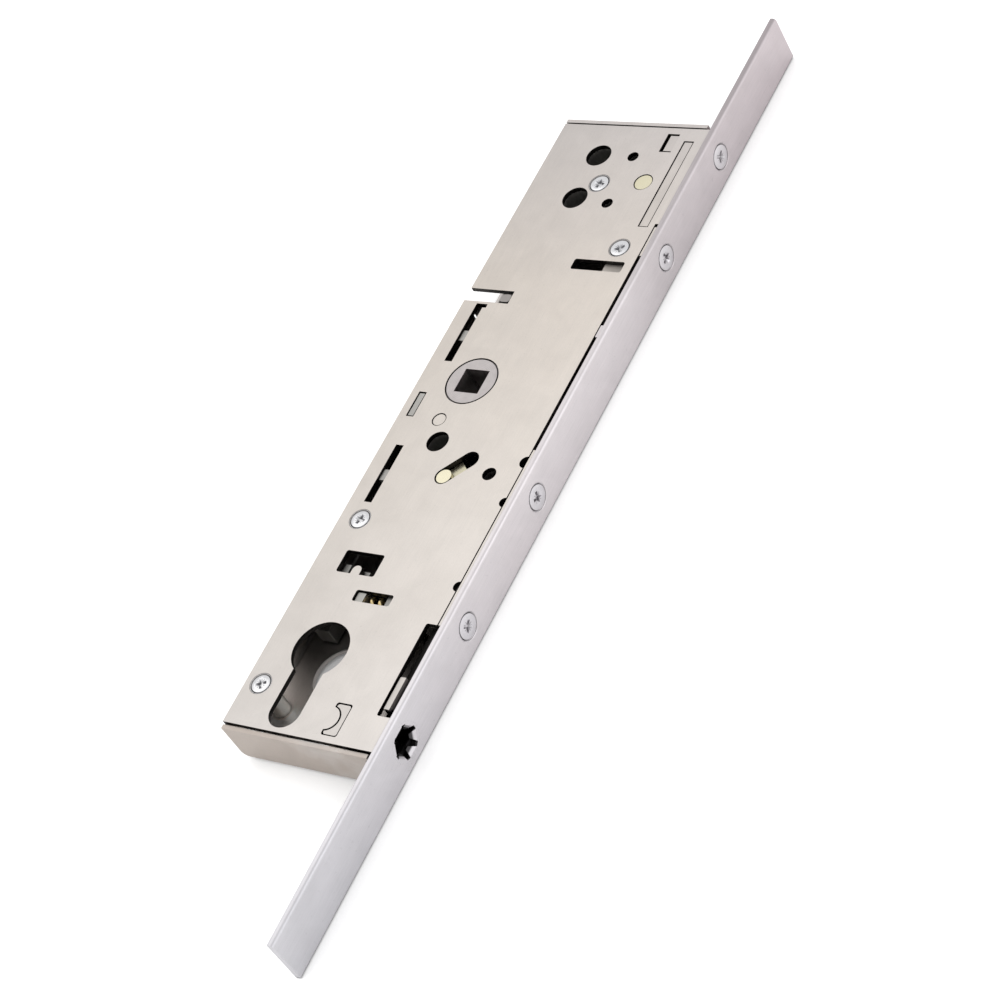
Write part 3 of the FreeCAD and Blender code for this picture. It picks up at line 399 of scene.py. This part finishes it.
def floor_material():
    """White paper with its real soft shadow, and a painted shadow where its glow dims near the lock;
    it shows a little brighter in the metal.
    """
    graph = Graph("studio_floor")
    rays = graph.add("ShaderNodeLightPath").outputs
    open_sky = graph.open_sky(painted_shadow_reach)
    # The glow dims where the lock hides the sky: a painted soft shadow, also in the floor's
    # reflections in the metal
    seen = graph.product(open_sky, floor_glow, rays["Is Camera Ray"])
    mirrored = graph.product(open_sky, rays["Is Glossy Ray"], floor_sheen)
    strength = graph.calculate("ADD", seen, mirrored)
    emission = graph.add("ShaderNodeEmission", {"Color": (1, 1, 1, 1), "Strength": strength})
    paper = graph.add("ShaderNodeBsdfDiffuse",
                      {"Color": (floor_albedo, floor_albedo, floor_albedo, 1)})
    return graph.finish(graph.add("ShaderNodeAddShader",
                                  {0: paper.outputs[0], 1: emission.outputs[0]}))


# Tones: each place along a span of X, from 0 to 1, with its colour
case_span = (-0.12, 0.0985)
strip_span = (-0.176, 0.141)
case_tones = [(0.0, linear(214, 209, 205)), (0.45, linear(221, 214, 207)),
              (0.72, linear(222, 214, 206)), (1.0, linear(214, 208, 205))]
strip_tones = [(0.0, linear(214, 213, 217)), (0.12, linear(218, 216, 220)),
               (0.4, linear(228, 222, 224)), (0.62, linear(227, 221, 223)),
               (0.75, linear(212, 205, 207)), (1.0, linear(212, 202, 205))]
flap_tones = [(0.0, linear(194, 184, 176)), (0.02, linear(214, 209, 205)),
              (1.0, linear(214, 208, 205))]
inner_tones = [(0.0, linear(178, 176, 172)), (1.0, linear(186, 184, 180))]
bright_tones = [(0.0, linear(228, 228, 230)), (1.0, linear(232, 232, 235))]
head_tones = [(0.0, linear(228, 226, 230)), (1.0, linear(222, 218, 221))]
post_tones = [(0.0, linear(168, 163, 160)), (1.0, linear(168, 163, 160))]
brass_tones = [(0.0, linear(240, 233, 206)), (1.0, linear(236, 229, 200))]
spring_tones = [(0.0, linear(222, 200, 150)), (1.0, linear(222, 200, 150))]

# Finishes
cover_finish = metal("cover_sheet", case_tones, case_span, 0.42, cut_face_shade=linear(52, 49, 47))
tray_finish = metal("tray_sheet", flap_tones, case_span, 0.44, mottle=1.2)
strip_finish = metal("strip_steel", strip_tones, strip_span, 0.36, grain=1.4, painted_side_shade=True)
inner_finish = metal("inner_steel", inner_tones, case_span, 0.48, mottle=1.6)
rail_finish = metal("rail_steel", strip_tones, strip_span, 0.42, grain=1.2)
screw_finish = metal("bright_zinc", bright_tones, strip_span, 0.22, grain=0.4)
head_finish = metal("strip_screw_zinc", head_tones, strip_span, 0.3, grain=0.4)
post_finish = metal("post_steel", post_tones, case_span, 0.5, mottle=1.4)
tab_finish = metal("tab_steel", case_tones, case_span, 0.46, mottle=1.6)
brass_finish = metal("brass", brass_tones, case_span, 0.3, grain=0.6)
spring_finish = metal("spring_wire", spring_tones, case_span, 0.3, grain=0.3, shaded=False)
pad_finish = metal("pad_steel", inner_tones, case_span, 0.42, mottle=1.6, shaded=False)
follower_finish = turned("turned_follower", linear(196, 190, 189), 0.34)

# The CAD nodes that aren't in the inner pieces' finish
node_finishes = {
    "faceplate": strip_finish,
    "star_retainer": strip_finish,
    "case_tray": tray_finish,
    "case_cover": cover_finish,
    "drag_spring": spring_finish,
    "drag_pad": pad_finish,
    "follower": follower_finish,
    "upper_drive_rail": rail_finish,
    "lower_drive_rail": rail_finish,
    "link_pin": brass_finish,
    "blocking_slide": brass_finish,
    "brass_rivet": brass_finish,
    "ring_rivet": tab_finish,
    "front_bracket_upper": tab_finish,
    "front_bracket_lower": tab_finish,
    "top_spacer": tab_finish,
    "lower_spacer": tab_finish,
    "notch_post": post_finish,
}

# Edges of the CAD nodes: how far each is broken
edge_breaks = {
    "case_cover": 0.14 * MM,
    "case_tray": 0.12 * MM,
    "follower": 0.16 * MM,
    "top_spacer": 0.1 * MM,
    "lower_spacer": 0.1 * MM,
    "rack_keeper": 0.1 * MM,
    "front_bracket_upper": 0.15 * MM,
    "front_bracket_lower": 0.15 * MM,
    "link_pin": 0.2 * MM,
    "notch_post": 0.15 * MM,
    "back_rack": 0.15 * MM,
    "key_slide": 0.15 * MM,
    "drag_pad": 0.15 * MM,
}


def dress(piece, finish):
    """Gives a CAD node its finish in every material slot."""
    piece.data.materials.clear()
    piece.data.materials.append(finish)


def break_edges(piece, width):
    """Rounds the sharp edges of a CAD node a little, as tumbling and plating do."""
    weld = piece.modifiers.new("weld", "WELD")
    weld.merge_threshold = weld_reach
    bevel = piece.modifiers.new("broken_edges", "BEVEL")
    bevel.width = width
    bevel.segments = 2
    bevel.limit_method = "ANGLE"
    bevel.angle_limit = sharp_edge
    bevel.harden_normals = False
    bevel.use_clamp_overlap = True


for node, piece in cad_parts.items():
    dress(piece, node_finishes.get(node, inner_finish))
for node, width in edge_breaks.items():
    break_edges(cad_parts[node], width)


def islands(node):
    """The lowest and highest corner of each separate solid of a CAD node."""
    work = bmesh.new()
    work.from_mesh(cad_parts[node].data)
    bmesh.ops.remove_doubles(work, verts=work.verts, dist=weld_reach)
    left = set(work.verts)
    boxes = []
    while left:
        group = {left.pop()}
        waiting = list(group)
        while waiting:
            vertex = waiting.pop()
            for edge in vertex.link_edges:
                other = edge.other_vert(vertex)
                if other not in group:
                    group.add(other)
                    left.discard(other)
                    waiting.append(other)
        low = Vector([min(vertex.co[axis] for vertex in group) for axis in range(3)])
        high = Vector([max(vertex.co[axis] for vertex in group) for axis in range(3)])
        boxes.append((low, high))
    work.free()
    return sorted(boxes, key=lambda box: tuple(box[0]))


def placed(name, data):
    """A new object in the scene, with its mesh, light or lens."""
    made = bpy.data.objects.new(name, data)
    bpy.context.scene.collection.objects.link(made)
    return made


def solid(name, work):
    """A new object from a closed bmesh, which goes. Its faces are turned outwards."""
    bmesh.ops.recalc_face_normals(work, faces=work.faces)
    mesh = bpy.data.meshes.new(name)
    work.to_mesh(mesh)
    work.free()
    return placed(name, mesh)


def lathe(name, profile):
    """A solid turned round Z from a profile of (radius, z) that starts and ends on the axis."""
    work = bmesh.new()
    angles = [2 * math.pi * step / lathe_steps for step in range(lathe_steps)]
    rings = []
    for radius, z in profile:
        turns = angles if radius else angles[:1]
        rings.append([work.verts.new((radius * math.cos(angle), radius * math.sin(angle), z))
                      for angle in turns])
    for first, second in zip(rings, rings[1:]):
        for step in range(lathe_steps):
            after = (step + 1) % lathe_steps
            corners = [first[step % len(first)], first[after % len(first)],
                       second[after % len(second)], second[step % len(second)]]
            work.faces.new(list(dict.fromkeys(corners)))
    return solid(name, work)


def frustum(name, top, foot, depth):
    """A tapered block from above the face down to -depth. Top and foot are half sizes on X and Y."""
    work = bmesh.new()
    upper, lower = ([work.verts.new((x * half_x, y * half_y, z)) for x, y in square_corners]
                    for (half_x, half_y), z in ((top, cut_above), (foot, -depth)))
    work.faces.new(upper)
    work.faces.new(lower[::-1])
    for side in range(4):
        after = (side + 1) % 4
        work.faces.new([upper[side], lower[side], lower[after], upper[after]])
    return solid(name, work)


def cut(piece, cutters):
    """Cuts each cutter from the piece's mesh and removes the cutters."""
    for cutter in cutters:
        change = piece.modifiers.new("cut", "BOOLEAN")
        change.operation = "DIFFERENCE"
        change.solver = "EXACT"
        change.object = cutter
    bpy.context.view_layer.update()
    made = piece.evaluated_get(bpy.context.evaluated_depsgraph_get())
    mesh = bpy.data.meshes.new_from_object(made)
    piece.modifiers.clear()
    piece.data = mesh
    for cutter in cutters:
        bpy.data.objects.remove(cutter)
    return piece


def screw_head(name, head_radius, head_depth, shank_radius, length, recess_share):
    """One countersunk screw with a tapered cross recess and four fine marks between its wings."""
    reach = head_radius - head_gap
    groove = reach - rim_land - rim_groove
    groove_end = groove + rim_groove
    land = -head_sink - rim_land_drop
    round_in, round_down = rim_middle
    screw = lathe(name, [
        (0, -head_sink), (groove - rim_round, -head_sink - head_crown),
        (groove - rim_round * round_in, -head_sink - rim_round * round_down),
        (groove, -head_sink - rim_round),
        (groove + rim_groove_draft, -head_sink - rim_groove_depth),
        (groove_end, -head_sink - rim_groove_depth),
        (groove_end + rim_groove_draft, land), (reach - rim_groove_draft, land),
        (reach, -head_sink - rim_round),
        (shank_radius, -head_depth - head_sink), (shank_radius, -length), (0, -length)])
    wing = head_radius * recess_share
    cutters = []
    for turn in (0, 90):
        blade = frustum("wing", (wing, wing_half_width),
                        (wing * wing_foot_share, wing_foot_half_width), recess_depth)
        blade.rotation_euler.z = math.radians(turn)
        cutters.append(blade)
    top_share, foot_share = tick_shares
    for turn in (45, 135):
        tick = frustum("tick", (wing * top_share, tick_half_width),
                       (wing * foot_share, tick_half_width / 2), tick_depth + head_sink)
        tick.rotation_euler.z = math.radians(turn)
        cutters.append(tick)
    return cut(screw, cutters)


def joined(name, pieces, body, node, finish):
    """One piece from several, that rides on a body and stands for a CAD node."""
    bpy.context.view_layer.update()
    work = bmesh.new()
    for piece in pieces:
        part = piece.data.copy()
        part.transform(piece.matrix_world)
        work.from_mesh(part)
        bpy.data.meshes.remove(part)
        bpy.data.objects.remove(piece)
    mesh = bpy.data.meshes.new(name)
    work.to_mesh(mesh)
    work.free()
    for polygon in mesh.polygons:
        polygon.use_smooth = True
    mesh.set_sharp_from_angle(angle=sharp_head_edge)
    mesh.materials.append(finish)
    made = placed(name, mesh)
    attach(made, body)
    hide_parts(node)


def copies(piece, places):
    """A copy of the piece at each place, which is a matrix. The piece itself goes."""
    made = []
    for place in places:
        twin = placed(piece.name, piece.data.copy())
        twin.matrix_world = place
        made.append(twin)
    bpy.data.objects.remove(piece)
    return made


def turned_by(turns, number):
    """The turn of a screw about its own axis, by its number in the row."""
    first, step = turns
    return Matrix.Rotation(math.radians(first + step * number), 4, "Z")


def case_screws():
    """The four screws of the cover, each turned a little differently."""
    boxes = islands("case_screws")
    low, high = boxes[0]
    screw = screw_head("case_screw", (high.x - low.x) / 2, case_head_depth, case_shank_radius,
                       high.z - low.z, case_recess)
    places = []
    for number, (low, high) in enumerate(boxes):
        middle = (low + high) / 2
        place = Matrix.Translation((middle.x, middle.y, high.z))
        places.append(place @ turned_by(case_screw_turns, number))
    joined("case_screw_heads", copies(screw, places), "case", "case_screws", screw_finish)


def faceplate_screws():
    """The four screws of the strip, each turned a little differently."""
    boxes = islands("faceplate_screws")
    low, high = boxes[0]
    screw = screw_head("faceplate_screw", (high.x - low.x) / 2, strip_head_depth,
                       strip_shank_radius, high.y - low.y, strip_recess)
    face_out = Matrix.Rotation(math.radians(90), 4, "X")
    places = []
    for number, (low, high) in enumerate(boxes):
        middle = (low + high) / 2
        place = Matrix.Translation((middle.x, low.y, middle.z))
        places.append(place @ face_out @ turned_by(strip_screw_turns, number))
    joined("faceplate_screw_heads", copies(screw, places), "case", "faceplate_screws",
           head_finish)


case_screws()
faceplate_screws()


def lay_floor():
    """A wide sheet of paper just under the lock."""
    low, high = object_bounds()
    mesh = bpy.data.meshes.new("floor")
    corners = [(x * floor_half, y * floor_half, low.z - floor_gap) for x, y in square_corners]
    mesh.from_pydata(corners, [], [(0, 1, 2, 3)])
    mesh.materials.append(floor_material())
    placed("floor", mesh)


def light_world():
    """An even white world that is brighter where it is seen straight or through glass."""
    world = bpy.data.worlds.new("studio")
    world.use_nodes = True
    tree = world.node_tree
    background = tree.nodes["Background"]
    rays = tree.nodes.new("ShaderNodeLightPath")
    direct = tree.nodes.new("ShaderNodeMath")
    direct.operation = "MAXIMUM"
    tree.links.new(rays.outputs["Is Camera Ray"], direct.inputs[0])
    tree.links.new(rays.outputs["Is Transmission Ray"], direct.inputs[1])
    level = tree.nodes.new("ShaderNodeMapRange")
    level.inputs["To Min"].default_value = world_strength
    level.inputs["To Max"].default_value = 1.0
    tree.links.new(direct.outputs[0], level.inputs["Value"])
    tree.links.new(level.outputs["Result"], background.inputs["Strength"])
    background.inputs["Color"].default_value = (1, 1, 1, 1)
    bpy.context.scene.world = world


def hang_lamps():
    """Soft lamps that all point at the lock."""
    for name, (place, size, power, tone) in lamps.items():
        light = bpy.data.lights.new(name, "AREA")
        light.size = size
        light.energy = power
        light.color = tone
        lamp = placed(name, light)
        lamp.location = place
        lamp.rotation_mode = "QUATERNION"
        lamp.rotation_quaternion = (-Vector(place)).to_track_quat("-Z", "Y")


def set_camera():
    """The camera at the photograph's place, with its lens."""
    lens = bpy.data.cameras.new("camera")
    lens.lens = camera_lens
    lens.sensor_width = camera_sensor
    lens.shift_x, lens.shift_y = camera_shift
    lens.clip_start, lens.clip_end = camera_clip
    camera = placed("camera", lens)
    right, up = Vector(camera_right).normalized(), Vector(camera_up).normalized()
    back = right.cross(up).normalized()
    turn = Matrix((right, back.cross(right), back)).transposed().to_4x4()
    camera.matrix_world = Matrix.Translation(camera_place) @ turn
    bpy.context.scene.camera = camera


lay_floor()
light_world()
hang_lamps()
set_camera()
bpy.context.scene.view_settings.view_transform = "Standard"
